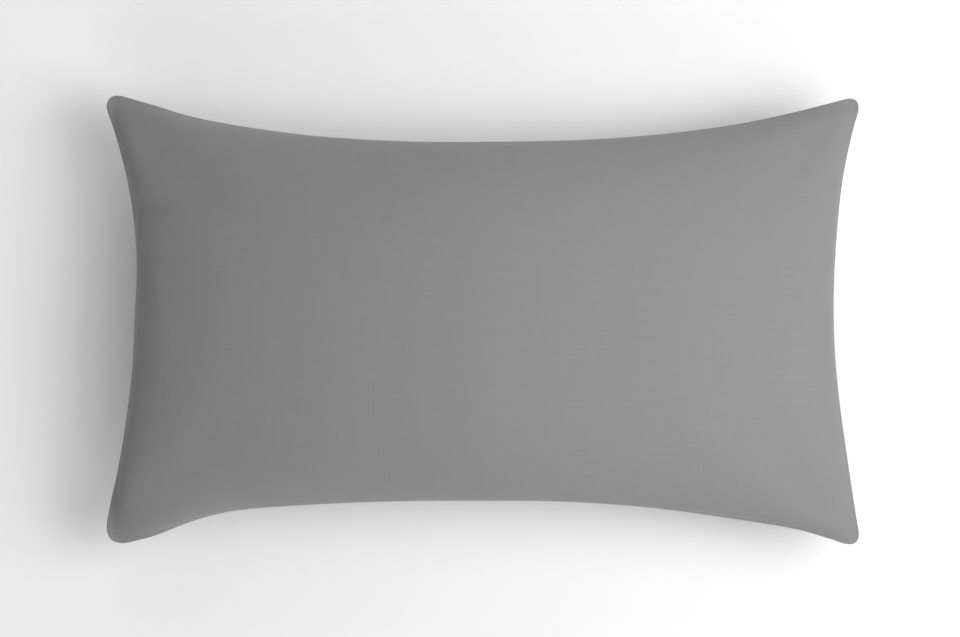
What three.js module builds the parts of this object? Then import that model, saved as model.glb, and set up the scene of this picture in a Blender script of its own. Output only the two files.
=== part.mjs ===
// A rectangular lumbar cushion, lying on its back. Two equal cloth panels are sewn together all round with a plain
// knife-edge seam and filled, so the faces crown, the four sides draw in between the corners, and the corners stand
// out as thin rounded ears. The whole cushion is one filled solid.
// Millimetres. +X runs along the length, +Y to the far side, +Z up. The origin is on the surface that the cushion
// lies on, under the middle of its length and width.

import * as THREE from "three";
import { mergeGeometries, mergeVertices } from "three/addons/utils/BufferGeometryUtils.js";

// Driving dimensions. A cover cut 500 by 300 mm measures this much from ear to ear once it is filled.
const LENGTH = 490;
const WIDTH = 292.6;
const CROWN_ABOVE = 69; // from the seam up to the top of the upper face
const SEAM_HEIGHT = 57; // from the surface up to the seam, in the middle of a side
const CROWN_BELOW = 65; // what the under face would bulge below the seam if nothing pressed on it
const EAR_DROOP = 6; // how much lower than that the seam lies at the tips of the ears
const SEAM_ROLL = 1.6; // half the thickness of the turned-in seam allowance along the edge
const PRESS_BLEND = 3; // height over which the under face eases into the flat that it rests on

// The round tip of each ear. Angles are in degrees from +X: the one of its outermost point, and those at which its
// arc runs into the long side and into the end. The arc's centre is set in from the length and from the width.
const EARS = {
  farLeft: { tipAngle: 135, sideAngle: 70, endAngle: 203, radius: 7.2, inFromEnd: 7.2, inFromSide: 7.2 },
  farRight: { tipAngle: 45, sideAngle: 105, endAngle: -18, radius: 5.8, inFromEnd: 5.8, inFromSide: 7.7 },
  nearLeft: { tipAngle: 225, sideAngle: 293, endAngle: 168, radius: 10.4, inFromEnd: 10.4, inFromSide: 11.2 },
  nearRight: { tipAngle: -45, sideAngle: -110, endAngle: 12, radius: 6.5, inFromEnd: 6.5, inFromSide: 6.5 },
};

// How far each side is drawn in, measured at places along it from the middle of the cushion.
const FAR_SIDE = [
  { along: -215, drawnIn: 6.2 },
  { along: -190, drawnIn: 14.0 },
  { along: -160, drawnIn: 20.0 },
  { along: -110, drawnIn: 26.8 },
  { along: -50, drawnIn: 30.5 },
  { along: 10, drawnIn: 30.7 },
  { along: 70, drawnIn: 29.3 },
  { along: 120, drawnIn: 25.3 },
  { along: 165, drawnIn: 19.2 },
  { along: 200, drawnIn: 11.8 },
  { along: 225, drawnIn: 5.4 },
];
const NEAR_SIDE = [
  { along: -215, drawnIn: 5.4 },
  { along: -190, drawnIn: 15.3 },
  { along: -165, drawnIn: 22.0 },
  { along: -120, drawnIn: 26.0 },
  { along: -60, drawnIn: 28.7 },
  { along: 0, drawnIn: 29.1 },
  { along: 55, drawnIn: 28.5 },
  { along: 110, drawnIn: 24.5 },
  { along: 165, drawnIn: 16.9 },
  { along: 205, drawnIn: 10.1 },
  { along: 222, drawnIn: 5.1 },
];
const LEFT_END = [
  { along: -120, drawnIn: 2.6 },
  { along: -97, drawnIn: 8.0 },
  { along: -60, drawnIn: 14.2 },
  { along: -30, drawnIn: 17.7 },
  { along: 5, drawnIn: 19.3 },
  { along: 35, drawnIn: 20.6 },
  { along: 68, drawnIn: 18.2 },
  { along: 96, drawnIn: 13.0 },
  { along: 120, drawnIn: 6.3 },
];
const RIGHT_END = [
  { along: -120, drawnIn: 3.3 },
  { along: -90, drawnIn: 8.1 },
  { along: -52, drawnIn: 13.6 },
  { along: -20, drawnIn: 16.6 },
  { along: 12, drawnIn: 17.4 },
  { along: 50, drawnIn: 15.7 },
  { along: 90, drawnIn: 11.5 },
  { along: 120, drawnIn: 5.1 },
];

// How the crown falls away from the middle of a face, as powers in its formula. The filling stands steeply behind
// the middle of each side and thins out towards the ears.
const LENGTHWISE = { roundness: 1.6, steepness: 0.41, thinning: 0.22 };
const CROSSWISE = { roundness: 2.8, steepness: 0.42, thinning: 0.22 };
const ROLL_SHARPNESS = 60; // the higher, the narrower the rolled edge along the seam

// Fineness: cells of each panel along the length and across the width, points on each arc of an ear, and the
// pieces that a seam line is measured in.
const CELLS_ALONG = 52;
const CELLS_ACROSS = 32;
const ARC_POINTS = 6;
const SEAM_DIVISIONS = 2000;
const SAME_POINT = 1e-3;

const CLOTH = new THREE.MeshStandardMaterial({ color: 0x858585, roughness: 0.92, metalness: 0 });

// The arc of an ear, from its outermost point round to where it runs into the side or the end.
function earArc(ear, lastAngle) {
  const tip = THREE.MathUtils.degToRad(ear.tipAngle);
  const last = THREE.MathUtils.degToRad(lastAngle);
  const centreX = Math.sign(Math.cos(tip)) * (LENGTH / 2 - ear.inFromEnd);
  const centreY = Math.sign(Math.sin(tip)) * (WIDTH / 2 - ear.inFromSide);
  return Array.from({ length: ARC_POINTS }, (_, i) => {
    const angle = THREE.MathUtils.lerp(tip, last, i / (ARC_POINTS - 1));
    return new THREE.Vector3(
      centreX + ear.radius * Math.cos(angle),
      centreY + ear.radius * Math.sin(angle),
      0,
    );
  });
}

// One side's seam line in plan, from the tip of one ear to the tip of the next.
function seamLine(startArc, points, endArc) {
  const line = new THREE.CatmullRomCurve3(
    [...startArc, ...points, ...endArc.toReversed()],
    false,
    "centripetal",
  );
  line.arcLengthDivisions = SEAM_DIVISIONS;
  return line;
}

// The four seam lines. The far and near ones run from left to right, the two ends from near to far.
function seamLines() {
  const { farLeft, farRight, nearLeft, nearRight } = EARS;
  return {
    far: seamLine(
      earArc(farLeft, farLeft.sideAngle),
      FAR_SIDE.map((row) => new THREE.Vector3(row.along, WIDTH / 2 - row.drawnIn, 0)),
      earArc(farRight, farRight.sideAngle),
    ),
    near: seamLine(
      earArc(nearLeft, nearLeft.sideAngle),
      NEAR_SIDE.map((row) => new THREE.Vector3(row.along, row.drawnIn - WIDTH / 2, 0)),
      earArc(nearRight, nearRight.sideAngle),
    ),
    left: seamLine(
      earArc(nearLeft, nearLeft.endAngle),
      LEFT_END.map((row) => new THREE.Vector3(row.drawnIn - LENGTH / 2, row.along, 0)),
      earArc(farLeft, farLeft.endAngle),
    ),
    right: seamLine(
      earArc(nearRight, nearRight.endAngle),
      RIGHT_END.map((row) => new THREE.Vector3(LENGTH / 2 - row.drawnIn, row.along, 0)),
      earArc(farRight, farRight.endAngle),
    ),
  };
}

// Where a point of the flat panel lies in plan once the seam is drawn in, as a blend of the four seam lines. Its
// place on the panel is given by two shares from 0 to 1: along the length, and across the width.
function placeInPlan(seam, along, across) {
  const between = (start, end, share) => start.clone().lerp(end, share);
  const fromSides = between(seam.near.getPointAt(along), seam.far.getPointAt(along), across);
  const fromEnds = between(seam.left.getPointAt(across), seam.right.getPointAt(across), along);
  const nearTips = between(seam.near.getPointAt(0), seam.near.getPointAt(1), along);
  const farTips = between(seam.far.getPointAt(0), seam.far.getPointAt(1), along);
  return fromSides.add(fromEnds).sub(between(nearTips, farTips, across));
}

// Share of the full crown at a point of a panel, with x and y from 0 in the middle to 1 at the seam.
function crownShare(x, y) {
  const lengthwise = 1 - x ** LENGTHWISE.roundness;
  const crosswise = 1 - y ** CROSSWISE.roundness;
  return (
    lengthwise ** (LENGTHWISE.steepness + LENGTHWISE.thinning * y * y) *
    crosswise ** (CROSSWISE.steepness + CROSSWISE.thinning * x * x)
  );
}

// Share of the seam roll's thickness, which is full except right at the edge.
function rollShare(x, y) {
  return Math.sqrt((1 - x ** ROLL_SHARPNESS) * (1 - y ** ROLL_SHARPNESS));
}

// The under face flattens where it meets the surface, and eases into that flat.
function pressedFlat(height) {
  if (height >= PRESS_BLEND) return height;
  if (height <= -PRESS_BLEND) return 0;
  return (height + PRESS_BLEND) ** 2 / (4 * PRESS_BLEND);
}

// Height of a face at a point of its panel, with x and y from -1 to 1. The upper face is on side 1, the under
// face on side -1.
function faceHeight(x, y, side) {
  const seam = SEAM_HEIGHT - EAR_DROOP * x * x * y * y;
  const crown = side > 0 ? CROWN_ABOVE : CROWN_BELOW;
  const [ax, ay] = [Math.abs(x), Math.abs(y)];
  const rise = (crown - SEAM_ROLL) * crownShare(ax, ay) + SEAM_ROLL * rollShare(ax, ay);
  return pressedFlat(seam + side * rise);
}

// One panel in its final shape. Its rows are drawn closer together towards the seam, where it bends most.
function panel(seam, side) {
  const vertices = [];
  const triangles = [];
  const spread = (step, steps) => Math.sin((step / steps - 0.5) * Math.PI);
  for (let i = 0; i <= CELLS_ALONG; i += 1) {
    for (let j = 0; j <= CELLS_ACROSS; j += 1) {
      const [x, y] = [spread(i, CELLS_ALONG), spread(j, CELLS_ACROSS)];
      const place = placeInPlan(seam, (x + 1) / 2, (y + 1) / 2);
      vertices.push(place.x, place.y, faceHeight(x, y, side));
    }
  }
  for (let i = 0; i < CELLS_ALONG; i += 1) {
    for (let j = 0; j < CELLS_ACROSS; j += 1) {
      const a = i * (CELLS_ACROSS + 1) + j;
      const [b, c, d] = [a + CELLS_ACROSS + 1, a + CELLS_ACROSS + 2, a + 1];
      // Each cell is split along the line that runs outwards, so that no triangle lies wholly in the seam.
      const towardsEar = (i < CELLS_ALONG / 2) === (j < CELLS_ACROSS / 2);
      triangles.push(...(towardsEar ? [a, b, c, a, c, d] : [a, b, d, b, c, d]));
    }
  }
  if (side < 0) triangles.reverse(); // the under face looks down
  const geometry = new THREE.BufferGeometry();
  geometry.setAttribute("position", new THREE.Float32BufferAttribute(vertices, 3));
  geometry.setIndex(triangles);
  return geometry;
}

// The two panels sewn together along the seam, which they share point for point.
function cushion() {
  const seam = seamLines();
  const sewn = mergeVertices(mergeGeometries([panel(seam, 1), panel(seam, -1)]), SAME_POINT);
  sewn.computeVertexNormals();
  const mesh = new THREE.Mesh(sewn, CLOTH);
  mesh.name = "cushion";
  return mesh;
}

const part = new THREE.Group();
part.add(cushion());

export default part;
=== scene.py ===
import math

import bmesh
import bpy
import numpy as np
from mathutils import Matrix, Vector, noise
from mathutils.bvhtree import BVHTree
from mathutils.kdtree import KDTree


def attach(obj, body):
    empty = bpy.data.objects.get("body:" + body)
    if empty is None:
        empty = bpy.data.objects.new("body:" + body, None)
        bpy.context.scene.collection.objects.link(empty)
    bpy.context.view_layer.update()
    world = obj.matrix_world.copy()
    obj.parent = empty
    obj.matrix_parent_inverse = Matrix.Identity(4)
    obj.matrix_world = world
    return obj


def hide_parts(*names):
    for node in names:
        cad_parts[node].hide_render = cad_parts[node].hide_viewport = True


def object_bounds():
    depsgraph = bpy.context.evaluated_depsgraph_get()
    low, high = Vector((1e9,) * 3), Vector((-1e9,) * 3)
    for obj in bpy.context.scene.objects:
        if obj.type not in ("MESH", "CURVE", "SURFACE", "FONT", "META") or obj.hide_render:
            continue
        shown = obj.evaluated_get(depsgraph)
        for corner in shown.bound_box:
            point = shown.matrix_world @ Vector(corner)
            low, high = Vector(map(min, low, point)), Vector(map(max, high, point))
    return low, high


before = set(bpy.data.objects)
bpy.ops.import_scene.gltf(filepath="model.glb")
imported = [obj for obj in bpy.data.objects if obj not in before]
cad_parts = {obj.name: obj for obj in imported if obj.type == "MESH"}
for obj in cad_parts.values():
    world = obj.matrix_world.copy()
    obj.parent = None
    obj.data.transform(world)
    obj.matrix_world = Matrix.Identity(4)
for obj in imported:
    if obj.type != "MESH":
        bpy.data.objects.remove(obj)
cad_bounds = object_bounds()


# The cover. Two equal panels of plain-woven cotton are cut as rectangles with rounded corners, sewn
# together all round and turned right side out. Laid flat and empty, they are a shallow sleeve.
MM = 0.001
CUT_LENGTH = 500 * MM
CUT_WIDTH = 300 * MM
CUT_CORNER = 8 * MM
SLEEVE_DEPTH = 6 * MM
CELLS_ALONG = 60
CELLS_ACROSS = 36
SAME_PLACE = 0.1 * MM
SAME_SHARE = 1e-5  # closer than this, two shares of the pattern's length or width are the same


def read_points(mesh, attribute="position"):
    """The points of a mesh, or another vector that each of them carries, one row each."""
    flat = np.empty(len(mesh.vertices) * 3, np.float32)
    mesh.attributes[attribute].data.foreach_get("vector", flat)
    return flat.reshape(-1, 3).astype(float)


def write_points(mesh, points, attribute="position"):
    """Gives a mesh new points, or another vector for each of them."""
    mesh.attributes[attribute].data.foreach_set("vector", np.asarray(points, np.float32).ravel())
    mesh.update()


def round_corners(points):
    """Draws the square corners of the panels in to quarter circles, and the cells near them with them."""
    inner = np.array([CUT_LENGTH / 2 - CUT_CORNER, CUT_WIDTH / 2 - CUT_CORNER])
    past = np.clip((np.abs(points[:, :2]) - inner) / CUT_CORNER, 0, None)
    squeeze = np.sqrt(1 - past[:, ::-1] ** 2 / 2)
    squeeze[(past == 0).any(axis=1)] = 1
    drawn = np.where(past > 0, inner + past * squeeze * CUT_CORNER, np.abs(points[:, :2]))
    return np.column_stack([np.sign(points[:, :2]) * drawn, points[:, 2]])


bpy.ops.object.select_all(action="DESELECT")
bpy.ops.mesh.primitive_grid_add(x_subdivisions=CELLS_ALONG, y_subdivisions=CELLS_ACROSS, size=1)
cover = bpy.context.object
cover.name = "cushion_cover"
bpy.ops.object.mode_set(mode="EDIT")
bpy.ops.mesh.select_all(action="SELECT")
bpy.ops.transform.resize(value=(CUT_LENGTH, CUT_WIDTH, 1))
bpy.ops.transform.translate(value=(0, 0, SLEEVE_DEPTH / 2))
bpy.ops.mesh.duplicate()
bpy.ops.transform.translate(value=(0, 0, -SLEEVE_DEPTH))
bpy.ops.mesh.flip_normals()
bpy.ops.mesh.select_all(action="SELECT")
bpy.ops.mesh.region_to_loop()
bpy.ops.transform.resize(value=(1, 1, 0))
bpy.ops.transform.edge_crease(value=1)
bpy.ops.mesh.remove_doubles(threshold=SAME_PLACE)
bpy.ops.object.mode_set(mode="OBJECT")
cut = read_points(cover.data)
cover.data.attributes.new("cut", "FLOAT_VECTOR", "POINT")
write_points(cover.data, cut * [1, 1, 0], "cut")
write_points(cover.data, round_corners(cut))


# The seam. The filling pushes the faces apart, and that pulls the seam in between the ears. The packed
# model holds the line that it ends up on, so the sleeve's seam is matched to that line, side by side.
SAME_CORNER = 0.01 * MM  # closer than this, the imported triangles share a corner


def seam_of(node):
    """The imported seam, where the upper face meets the under face, from the near left ear round."""
    solid = bmesh.new()
    solid.from_mesh(node.data)
    bmesh.ops.remove_doubles(solid, verts=solid.verts, dist=SAME_CORNER)
    solid.normal_update()
    neighbours = {}
    for edge in solid.edges:
        if edge.link_faces[0].normal.z * edge.link_faces[1].normal.z < 0:
            one, other = edge.verts
            neighbours.setdefault(one, []).append(other)
            neighbours.setdefault(other, []).append(one)
    start = min(neighbours, key=lambda v: v.co.x + v.co.y)
    walk = [start, max(neighbours[start], key=lambda v: v.co.x)]
    while walk[-1] is not start:
        walk.append(next(v for v in neighbours[walk[-1]] if v is not walk[-2]))
    line = np.array([v.co for v in walk])
    solid.free()
    return line


def along_line(line, shares):
    """Points of a line at these shares of its length."""
    length = np.concatenate([[0], np.cumsum(np.linalg.norm(np.diff(line, axis=0), axis=1))])
    return np.column_stack([np.interp(shares * length[-1], length, line[:, k]) for k in range(3)])


seam = seam_of(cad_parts["cushion"])
near_right = np.argmax(seam[:, 0] - seam[:, 1])
far_right = np.argmax(seam[:, 0] + seam[:, 1])
far_left = np.argmax(seam[:, 1] - seam[:, 0])
seam_height = float(np.median(seam[:, 2]))


def onto_seam(points, cut):
    """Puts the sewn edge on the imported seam, by each point's share of its side of the pattern."""
    placed = points.copy()
    share = cut[:, :2] / [CUT_LENGTH, CUT_WIDTH] + 0.5
    for axis, end, line in (
        (1, 0, seam[: near_right + 1]),
        (0, 1, seam[near_right : far_right + 1]),
        (1, 1, seam[far_right : far_left + 1][::-1]),
        (0, 0, seam[far_left:][::-1]),
    ):
        side = np.flatnonzero(np.abs(share[:, axis] - end) < SAME_SHARE)
        placed[side] = along_line(line, share[side, 1 - axis])
    return placed


# The filling. Polyester fibre fills the cover tightly, so it acts as an even pressure from inside. The
# cloth hardly stretches, and gives way easily where it is pushed together.
FILL_STEPS = 40
DRAW_IN_STEPS = 15
FILL_PRESSURE = 6
CLOTH_SUBSTEPS = 8
CLOTH_MASS = 0.1
STRETCH_STIFFNESS = 40
PUSH_STIFFNESS = 0.2
SHEAR_STIFFNESS = 5
BEND_STIFFNESS = 0.05

sleeve = read_points(cover.data) + [0, 0, seam_height]
write_points(cover.data, sleeve)
cover.shape_key_add(name="cut flat")
drawn_in = cover.shape_key_add(name="seam drawn in")
drawn_in.data.foreach_set("co", onto_seam(sleeve, cut).astype(np.float32).ravel())
drawn_in.value = 0
drawn_in.keyframe_insert("value", frame=1)
drawn_in.value = 1
drawn_in.keyframe_insert("value", frame=DRAW_IN_STEPS)
sewn = np.flatnonzero(np.abs(cut[:, 2]) < SAME_PLACE)
cover.vertex_groups.new(name="seam").add(sewn.tolist(), 1, "REPLACE")
filling = cover.modifiers.new("filling", "CLOTH")
filling.settings.quality = CLOTH_SUBSTEPS
filling.settings.mass = CLOTH_MASS
filling.settings.tension_stiffness = STRETCH_STIFFNESS
filling.settings.compression_stiffness = PUSH_STIFFNESS
filling.settings.shear_stiffness = SHEAR_STIFFNESS
filling.settings.bending_model = "LINEAR"
filling.settings.bending_stiffness = BEND_STIFFNESS
filling.settings.use_pressure = True
filling.settings.uniform_pressure_force = FILL_PRESSURE
filling.settings.vertex_group_mass = "seam"
filling.settings.effector_weights.gravity = 0
filling.collision_settings.use_collision = False
filling.point_cache.frame_end = FILL_STEPS
for step in range(1, FILL_STEPS + 1):
    bpy.context.scene.frame_set(step)
bpy.ops.object.convert(target="MESH")


def subdivide():
    """Splits each cell of the cover in four and rounds it."""
    finer = cover.modifiers.new("finer", "SUBSURF")
    finer.levels = finer.render_levels = 1
    bpy.ops.object.modifier_apply(modifier="finer")


subdivide()


# How it lies. The fibre inside pads the cloth out more evenly than air would, so both faces settle on the
# packed crown. The cloth stays inside the seam line, and the surface presses the under face flat.
UNPRESSED_DEPTH = 65 * MM  # what the under face would bulge below the seam if nothing pressed on it
PRESS_BLEND = 3 * MM  # height over which the under face eases into its flat
SETTLING_ROUNDS = 10
SEAM_STANDS_OUT = 1.2 * MM
RING_POINTS = 2000
RING_STEP = 4  # points of the ring on each side that its direction is taken over

ring = along_line(seam, np.linspace(0, 1, RING_POINTS, endpoint=False))
ahead = np.roll(ring, -RING_STEP, axis=0) - np.roll(ring, RING_STEP, axis=0)
ring_out = np.column_stack([ahead[:, 1], -ahead[:, 0], np.zeros(RING_POINTS)])
ring_out /= np.linalg.norm(ring_out, axis=1)[:, None]
ring_tree = KDTree(RING_POINTS)
for index, point in enumerate(ring):
    ring_tree.insert((point[0], point[1], 0), index)
ring_tree.balance()


def nearest_on_ring(points):
    """Which point of the seam line lies nearest in plan to each of these."""
    return np.array([ring_tree.find((point[0], point[1], 0))[1] for point in points])


def pressed_flat(height):
    """The height of the cloth once the surface under it has stopped it."""
    eased = (height + PRESS_BLEND) ** 2 / (4 * PRESS_BLEND)
    return np.select([height >= PRESS_BLEND, height <= -PRESS_BLEND], [height, 0], eased)


def packed_face(node, side):
    """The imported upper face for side 1, or the under face for side -1, to find nearest points on."""
    faces = [list(f.vertices) for f in node.data.polygons if f.normal.z * side > 0]
    return BVHTree.FromPolygons([v.co for v in node.data.vertices], faces)


def spread_out(mesh, offsets, held, rounds):
    """Evens out an offset over the mesh, so that it holds no facet or fold. The held points keep theirs."""
    ends = np.empty(len(mesh.edges) * 2, np.int32)
    mesh.edges.foreach_get("vertices", ends)
    one, other = ends.reshape(-1, 2).T
    count = np.bincount(ends, minlength=len(offsets))[:, None]
    for _ in range(rounds):
        total = np.zeros_like(offsets)
        np.add.at(total, one, offsets[other])
        np.add.at(total, other, offsets[one])
        offsets = np.where(held[:, None], offsets, total / count)
    return offsets


points = read_points(cover.data)
cut = read_points(cover.data, "cut")
rise = points[:, 2] - seam_height
above = (cad_bounds[1].z - seam_height) / rise.max()
below = UNPRESSED_DEPTH / -rise.min()
points[:, 2] = pressed_flat(seam_height + rise * np.where(rise > 0, above, below))
points = onto_seam(points, cut)
packed = {side: packed_face(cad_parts["cushion"], side) for side in (1, -1)}
offsets = np.array([
    point - np.array(packed[1 if up > 0 else -1].find_nearest(point)[0])
    for point, up in zip(points, rise)
])
on_edge = np.abs(cut[:, :2] / [CUT_LENGTH, CUT_WIDTH]).max(axis=1) > 0.5 - SAME_SHARE
points -= spread_out(cover.data, offsets, on_edge, SETTLING_ROUNDS)
nearest = nearest_on_ring(points)
beyond = ((points - ring[nearest]) * ring_out[nearest]).sum(axis=1)
limited = -SEAM_STANDS_OUT * np.logaddexp(0, -beyond / SEAM_STANDS_OUT)
points += ring_out[nearest] * (limited - beyond)[:, None]
points[:, 2] = np.maximum(points[:, 2], 0)
write_points(cover.data, onto_seam(points, cut))


# The lip. Along the seam each panel rolls over its turned-in edge, so the two make a narrow double lip with
# the stitched line sunk between them. The lip is as thick as the four layers of cloth that it holds.
LIP_REACH = 2.2 * MM
LIP_ROWS = 4
LIP_PROUD = 0.6 * MM
LIP_HALF_THICK = 0.9 * MM
STITCH_SINK = 1.3 * MM
EAR_SPREAD = 7 * MM * MM  # extra reach on a bend, because the last subdivision rounds it in

# How sharply the seam line bends: 1 over its radius, and positive on an ear. Its turn is measured over
# twice the stretch that its direction is.
turned = np.roll(ring_out, -2 * RING_STEP, axis=0) - np.roll(ring_out, 2 * RING_STEP, axis=0)
ring_bend = (turned * ahead).sum(axis=1) / (ahead ** 2).sum(axis=1) / 2

bpy.ops.object.mode_set(mode="EDIT")
bpy.ops.mesh.select_all(action="SELECT")
bpy.ops.transform.edge_crease(value=-1)
bpy.ops.mesh.select_mode(type="EDGE")
bpy.ops.mesh.select_all(action="DESELECT")
edit = bmesh.from_edit_mesh(cover.data)
place_cut = edit.verts.layers.float_vector["cut"]


def on_seam(vertex):
    """Whether a vertex lies on the edge of the pattern."""
    along, across = abs(vertex[place_cut].x), abs(vertex[place_cut].y)
    return max(along - CUT_LENGTH / 2, across - CUT_WIDTH / 2) > -SAME_PLACE


for edge in edit.edges:
    edge.select_set(all(on_seam(v) for v in edge.verts))
bmesh.update_edit_mesh(cover.data)
bpy.ops.mesh.bevel(offset=LIP_REACH, segments=LIP_ROWS, affect="EDGES", loop_slide=True)
edit = bmesh.from_edit_mesh(cover.data)
lip = {v for v in edit.verts if v.select and all(f.select for f in v.link_faces)}
stitched = {v for v in lip if all(other in lip for f in v.link_faces for other in f.verts)}
for v in lip:
    index = nearest_on_ring([v.co])[0]
    point, out = Vector(ring[index]), Vector(ring_out[index])
    if v in stitched:
        v.co = point - out * STITCH_SINK
    else:
        side = 1 if v.co.z > point.z else -1
        proud = LIP_PROUD + EAR_SPREAD * max(ring_bend[index], 0)
        v.co = point + out * proud + Vector((0, 0, side * LIP_HALF_THICK))
bmesh.update_edit_mesh(cover.data)
bpy.ops.object.mode_set(mode="OBJECT")
subdivide()
bpy.ops.object.shade_smooth()


# The creases. Stitching gathers the cloth a little, so fine puckers run in from the seam and fade within a
# few centimetres. The left end has a few soft creases where it is drawn in, and the filling is uneven.
PUCKER_DEPTH = 0.5 * MM
PUCKER_PITCH = 9 * MM
PUCKER_REACH = 13 * MM
PUCKER_STRETCH = 8  # how many times longer a pucker is than it is wide
UNEVEN_DEPTH = 0.25 * MM
UNEVEN_SIZE = 70 * MM
CLEAR_OF_LIP = 4 * MM  # the lip is stiff, so all of this starts beside it
CREASES = (  # on the upper face, in millimetres: start and end in plan, half the width, and the depth
    {"start": (-240, 105), "end": (-202, 101), "half_width": 8.0, "depth": 1.2},
    {"start": (-240, 71), "end": (-196, 71), "half_width": 7.0, "depth": 1.5},
    {"start": (-228, 40), "end": (-203, 38), "half_width": 4.0, "depth": 0.4},
    {"start": (-228, 22), "end": (-208, 21), "half_width": 3.5, "depth": 0.3},
    {"start": (-227, 5), "end": (-204, 6), "half_width": 4.0, "depth": 0.4},
    {"start": (-155, -30), "end": (-103, -72), "half_width": 5.0, "depth": 0.3},
    {"start": (-114, 64), "end": (-80, 12), "half_width": 5.0, "depth": 0.25},
)


def noise_at(points, scale):
    """Smooth noise from -1 to 1 at each of these points, with its grain stretched by the scale."""
    return np.array([noise.noise(point) for point in points / scale])


def puckers(cut, from_end, from_side, side):
    """Ripples that run in from the seam, at right angles to it. Each panel has its own."""
    place = np.column_stack([cut[:, :2], side * UNEVEN_SIZE])
    long_pitch = PUCKER_PITCH * PUCKER_STRETCH
    by_side = noise_at(place, [PUCKER_PITCH, long_pitch, PUCKER_PITCH])
    by_end = noise_at(place, [long_pitch, PUCKER_PITCH, PUCKER_PITCH])
    nearer_end = 1 / (1 + np.exp((from_end - from_side) / PUCKER_PITCH))
    ripple = by_side + (by_end - by_side) * nearer_end
    return PUCKER_DEPTH * ripple * np.exp(-np.minimum(from_end, from_side) / PUCKER_REACH)


def crease(points, start, end, half_width, depth):
    """A soft trough between two places in plan, deepest in the middle and fading at its ends."""
    start, end = np.array(start) * MM, np.array(end) * MM
    share = (points[:, :2] - start) @ (end - start) / ((end - start) @ (end - start))
    away = np.linalg.norm(points[:, :2] - start - np.outer(share, end - start), axis=1)
    along = np.clip(1 - (2 * share - 1) ** 2, 0, None) ** 2
    return -depth * MM * along * np.exp(-((away / (half_width * MM)) ** 2))


points = read_points(cover.data)
normals = np.array([v.normal for v in cover.data.vertices])
upper = normals[:, 2] > 0
side = np.where(upper, 1, -1)
cut = read_points(cover.data, "cut")
from_end, from_side = (np.array([CUT_LENGTH, CUT_WIDTH]) / 2 - np.abs(cut[:, :2])).T
relief = puckers(cut, from_end, from_side, side) + UNEVEN_DEPTH * noise_at(points, UNEVEN_SIZE)
for row in CREASES:
    relief += crease(points, **row) * upper
relief *= 1 - np.exp(-((np.minimum(from_end, from_side) / CLEAR_OF_LIP) ** 2))
relief *= np.clip(points[:, 2] / PRESS_BLEND - 1, 0, 1)  # nothing shows where it is pressed flat
points += normals * relief[:, None]
points[:, 2] = np.maximum(points[:, 2], 0)
write_points(cover.data, points)


# The cloth. A plain weave of mid-grey cotton yarn with a dull, slightly fuzzy face. The yarn is a little
# uneven, so fine streaks run both ways, and the cloth is drawn tight over the stitches beside the seam.
CLOTH_GREY = 0.235
THREAD_PITCH = 0.55 * MM
THREAD_HEIGHT = 0.05 * MM
PAINTED_SHADE_IN_GAPS_DEPTH = 0.16  # how much lighter a thread is painted on its top than in the gap beside it, as painted shade in the gaps
SHADE_PAINTED_IN_GAPS = 0.9  # painted shade in the gaps between threads, as a share of the cloth's grey
WARP_SHADE = 0.03  # how much lighter the lengthwise threads are than the crosswise ones
GAP_ROUGHNESS = 0.95
THREAD_GLOSS = 0.12  # how much less rough a thread is on its top
SLUB_LENGTH = 45 * MM
SLUB_WIDTH = 1.6 * MM
SLUB_HEIGHT = 0.06 * MM
SLUB_SHADE = 0.08
SLUB_DETAIL = 3  # how many times the noise is repeated at a finer size
STITCH_PITCH = 3 * MM
STITCH_REACH = 3 * MM
STITCH_HEIGHT = 0.2 * MM
CLOTH_SPECULAR = 0.3
FUZZ = 0.12  # how strongly the fine hairs on the face catch light from the side
FUZZ_ROUGHNESS = 0.5


def new_group(name, inputs, outputs):
    """An empty shader node group with these sockets, and its own input and output nodes."""
    group = bpy.data.node_groups.new(name, "ShaderNodeTree")
    for label, kind in inputs.items():
        group.interface.new_socket(label, in_out="INPUT", socket_type=kind)
    for label, kind in outputs.items():
        group.interface.new_socket(label, in_out="OUTPUT", socket_type=kind)
    return group, group.nodes.new("NodeGroupInput"), group.nodes.new("NodeGroupOutput")


def maths(tree, operation, *values):
    """A maths node fed with sockets or plain numbers. Gives back its result socket."""
    node = tree.nodes.new("ShaderNodeMath")
    node.operation = operation
    for socket, value in zip(node.inputs, values):
        if isinstance(value, bpy.types.NodeSocket):
            tree.links.new(value, socket)
        else:
            socket.default_value = value
    return node.outputs[0]


def weighted(tree, start, *terms):
    """A starting value, with each of these sockets added to it at its own weight."""
    total = start
    for socket, weight in terms:
        total = maths(tree, "MULTIPLY_ADD", socket, weight, total)
    return total


def split(tree, vector):
    """The first two axes of a vector."""
    node = tree.nodes.new("ShaderNodeSeparateXYZ")
    tree.links.new(vector, node.inputs[0])
    return node.outputs[0], node.outputs[1]


def streaks(tree, across, along, width, length):
    """Noise stretched along the yarn, from 0 to 1."""
    place = tree.nodes.new("ShaderNodeCombineXYZ")
    tree.links.new(maths(tree, "DIVIDE", across, width), place.inputs[0])
    tree.links.new(maths(tree, "DIVIDE", along, length), place.inputs[1])
    grain = tree.nodes.new("ShaderNodeTexNoise")
    grain.inputs["Scale"].default_value = 1
    grain.inputs["Detail"].default_value = SLUB_DETAIL
    tree.links.new(place.outputs[0], grain.inputs["Vector"])
    return grain.outputs[0]


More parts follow.
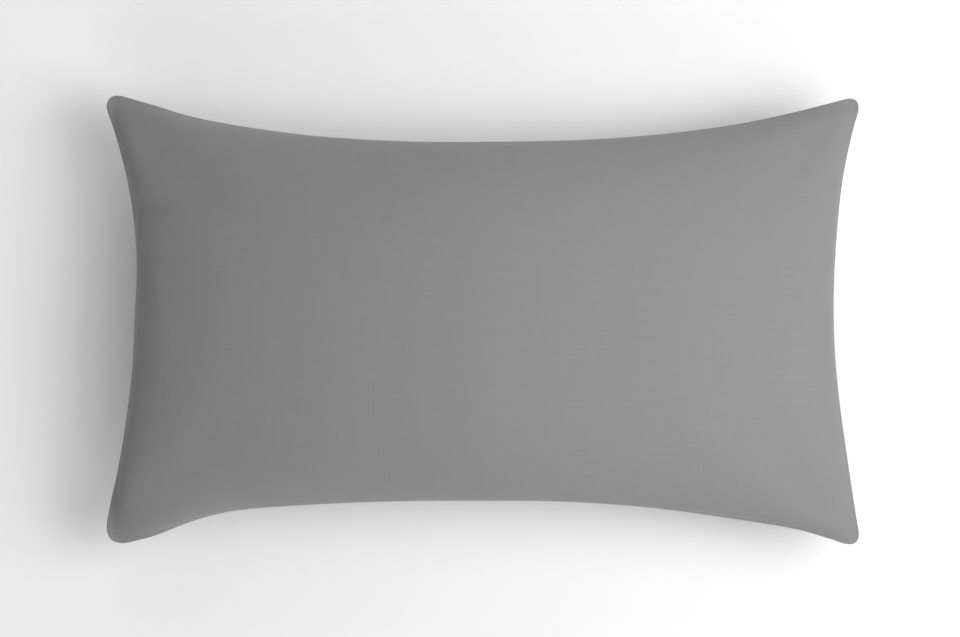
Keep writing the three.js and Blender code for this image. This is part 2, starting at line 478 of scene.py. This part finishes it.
def plain_weave():
    """Threads crossing over and under each other, raised in the middle of each crossing."""
    group, given, made = new_group(
        "plain_weave",
        {"Pattern": "NodeSocketVector", "Thread Pitch": "NodeSocketFloat"},
        {"Height": "NodeSocketFloat", "Warp On Top": "NodeSocketFloat"},
    )
    x, y = split(group, given.outputs["Pattern"])
    half_turn = maths(group, "DIVIDE", math.pi, given.outputs["Thread Pitch"])
    waves = [maths(group, "SINE", maths(group, "MULTIPLY", axis, half_turn)) for axis in (x, y)]
    crossing = maths(group, "MULTIPLY", *waves)
    height = maths(group, "SQRT", maths(group, "ABSOLUTE", crossing))
    warp = maths(group, "GREATER_THAN", crossing, 0)
    group.links.new(height, made.inputs["Height"])
    group.links.new(warp, made.inputs["Warp On Top"])
    return group


def uneven_yarn():
    """Streaks of thicker and thinner yarn, lengthwise and crosswise, from -1 to 1."""
    group, given, made = new_group(
        "uneven_yarn",
        {"Pattern": "NodeSocketVector", "Width": "NodeSocketFloat", "Length": "NodeSocketFloat"},
        {"Streaks": "NodeSocketFloat"},
    )
    x, y = split(group, given.outputs["Pattern"])
    warp = streaks(group, x, y, given.outputs["Width"], given.outputs["Length"])
    weft = streaks(group, y, x, given.outputs["Width"], given.outputs["Length"])
    group.links.new(maths(group, "SUBTRACT", maths(group, "ADD", warp, weft), 1), made.inputs["Streaks"])
    return group


def stitch_pull():
    """Small dimples beside the seam, one for each stitch, that fade away from it."""
    group, given, made = new_group(
        "stitch_pull",
        {
            "Pattern": "NodeSocketVector",
            "Half Length": "NodeSocketFloat",
            "Half Width": "NodeSocketFloat",
            "Stitch Pitch": "NodeSocketFloat",
            "Reach": "NodeSocketFloat",
        },
        {"Height": "NodeSocketFloat"},
    )
    x, y = split(group, given.outputs["Pattern"])
    from_end = maths(group, "SUBTRACT", given.outputs["Half Length"], maths(group, "ABSOLUTE", x))
    from_side = maths(group, "SUBTRACT", given.outputs["Half Width"], maths(group, "ABSOLUTE", y))
    end_nearer = maths(group, "LESS_THAN", from_end, from_side)
    along = maths(group, "ADD", x, maths(group, "MULTIPLY", end_nearer, maths(group, "SUBTRACT", y, x)))
    share = maths(group, "DIVIDE", maths(group, "MINIMUM", from_end, from_side), given.outputs["Reach"])
    near = maths(group, "SUBTRACT", 1, maths(group, "MINIMUM", share, 1))
    turn = maths(group, "MULTIPLY", maths(group, "DIVIDE", along, given.outputs["Stitch Pitch"]), math.tau)
    group.links.new(maths(group, "MULTIPLY", maths(group, "COSINE", turn), near), made.inputs["Height"])
    return group


cotton = bpy.data.materials.new("mid_grey_cotton")
cotton.use_nodes = True
tree = cotton.node_tree
surface = tree.nodes["Principled BSDF"]
pattern = tree.nodes.new("ShaderNodeAttribute")
pattern.attribute_name = "cut"


def place_group(group, **values):
    """Places a group in the cotton's material, with its pattern position and these values."""
    node = tree.nodes.new("ShaderNodeGroup")
    node.node_tree = group
    tree.links.new(pattern.outputs["Vector"], node.inputs["Pattern"])
    for label, value in values.items():
        node.inputs[label.replace("_", " ")].default_value = value
    return node


weave = place_group(plain_weave(), Thread_Pitch=THREAD_PITCH)
yarn = place_group(uneven_yarn(), Width=SLUB_WIDTH, Length=SLUB_LENGTH)
stitches = place_group(
    stitch_pull(),
    Half_Length=CUT_LENGTH / 2,
    Half_Width=CUT_WIDTH / 2,
    Stitch_Pitch=STITCH_PITCH,
    Reach=STITCH_REACH,
)
thread = weave.outputs["Height"]
warp = weave.outputs["Warp On Top"]
slub = yarn.outputs["Streaks"]
# The grey is painted darker in the gaps between threads and lighter on their tops, as painted shade. The
# warp's lighter tone and the yarn streaks are the cloth's own.
tone_and_painted_shading = weighted(tree, SHADE_PAINTED_IN_GAPS, (thread, PAINTED_SHADE_IN_GAPS_DEPTH), (warp, WARP_SHADE), (slub, SLUB_SHADE))
grey = tree.nodes.new("ShaderNodeCombineColor")
for channel in grey.inputs:
    tree.links.new(maths(tree, "MULTIPLY", tone_and_painted_shading, CLOTH_GREY), channel)
tree.links.new(grey.outputs["Color"], surface.inputs["Base Color"])
tree.links.new(weighted(tree, GAP_ROUGHNESS, (thread, -THREAD_GLOSS)), surface.inputs["Roughness"])
all_height = weighted(
    tree, 0, (thread, THREAD_HEIGHT), (slub, SLUB_HEIGHT), (stitches.outputs["Height"], STITCH_HEIGHT)
)
bump = tree.nodes.new("ShaderNodeBump")
bump.inputs["Distance"].default_value = 1  # the heights are in metres already
tree.links.new(all_height, bump.inputs["Height"])
tree.links.new(bump.outputs["Normal"], surface.inputs["Normal"])
surface.inputs["Specular IOR Level"].default_value = CLOTH_SPECULAR
surface.inputs["Sheen Weight"].default_value = FUZZ
surface.inputs["Sheen Roughness"].default_value = FUZZ_ROUGHNESS
cover.data.materials.append(cotton)

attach(cover, "root")
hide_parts("cushion")


# The floor. A plain matt white sheet under the cushion, much wider than the camera sees. It is part of the
# stage and not of the cushion.
FLOOR_WIDTH = 40
FLOOR_WHITE = 0.95
FLOOR_ROUGHNESS = 0.9

bpy.ops.mesh.primitive_plane_add(size=FLOOR_WIDTH)
floor = bpy.context.object
floor.name = "floor"
paint = bpy.data.materials.new("matt_white")
paint.use_nodes = True
coat = paint.node_tree.nodes["Principled BSDF"]
coat.inputs["Base Color"].default_value = (FLOOR_WHITE, FLOOR_WHITE, FLOOR_WHITE, 1)
coat.inputs["Roughness"].default_value = FLOOR_ROUGHNESS
floor.data.materials.append(paint)


# The studio lights. A soft key from the right is made up of two lamps, and a large lamp stands at each long
# side. A dim white world fills in the shadows.
LIGHTS = (  # around from +X and up from the floor in degrees, distance and width in metres, power in watts
    {"name": "key_low", "around": 0, "up": 50, "distance": 1.2, "width": 0.9, "power": 7.2},
    {"name": "key_high", "around": 0, "up": 65, "distance": 1.3, "width": 0.9, "power": 3.8},
    {"name": "far_side", "around": 90, "up": 30, "distance": 2.4, "width": 1.8, "power": 13.1},
    {"name": "near_side", "around": 270, "up": 30, "distance": 2.4, "width": 1.8, "power": 18.0},
)
WORLD_STRENGTH = 0.3

for row in LIGHTS:
    around, up = math.radians(row["around"]), math.radians(row["up"])
    direction = Vector((math.cos(around) * math.cos(up), math.sin(around) * math.cos(up), math.sin(up)))
    lamp = bpy.data.lights.new(row["name"], "AREA")
    lamp.shape = "DISK"
    lamp.size = row["width"]
    lamp.energy = row["power"]
    lamp_object = bpy.data.objects.new(row["name"], lamp)
    bpy.context.scene.collection.objects.link(lamp_object)
    lamp_object.location = direction * row["distance"]
    lamp_object.rotation_euler = direction.to_track_quat("Z", "Y").to_euler()
world = bpy.data.worlds.new("studio")
world.use_nodes = True
world.node_tree.nodes["Background"].inputs["Color"].default_value = (1, 1, 1, 1)
world.node_tree.nodes["Background"].inputs["Strength"].default_value = WORLD_STRENGTH
bpy.context.scene.world = world
bpy.context.scene.view_settings.view_transform = "Standard"


# The camera. It looks straight down on the face, and its height is counted from the seam. The lens is set
# so that one pixel of the picture covers PIXEL at the seam's height.
CAMERA_HEIGHT = 2.2
CAMERA_PLACE = (-1.8 * MM, 1.0 * MM)
PIXEL = 0.65022 * MM
PICTURE_WIDTH = 960
SENSOR_WIDTH = 36  # this and the focal length are in millimetres, as Blender takes them

camera_data = bpy.data.cameras.new("camera")
camera_data.sensor_width = SENSOR_WIDTH
camera_data.lens = SENSOR_WIDTH * CAMERA_HEIGHT / (PICTURE_WIDTH * PIXEL)
camera = bpy.data.objects.new("camera", camera_data)
bpy.context.scene.collection.objects.link(camera)
bpy.context.scene.camera = camera
camera.location = (*CAMERA_PLACE, seam_height + CAMERA_HEIGHT)
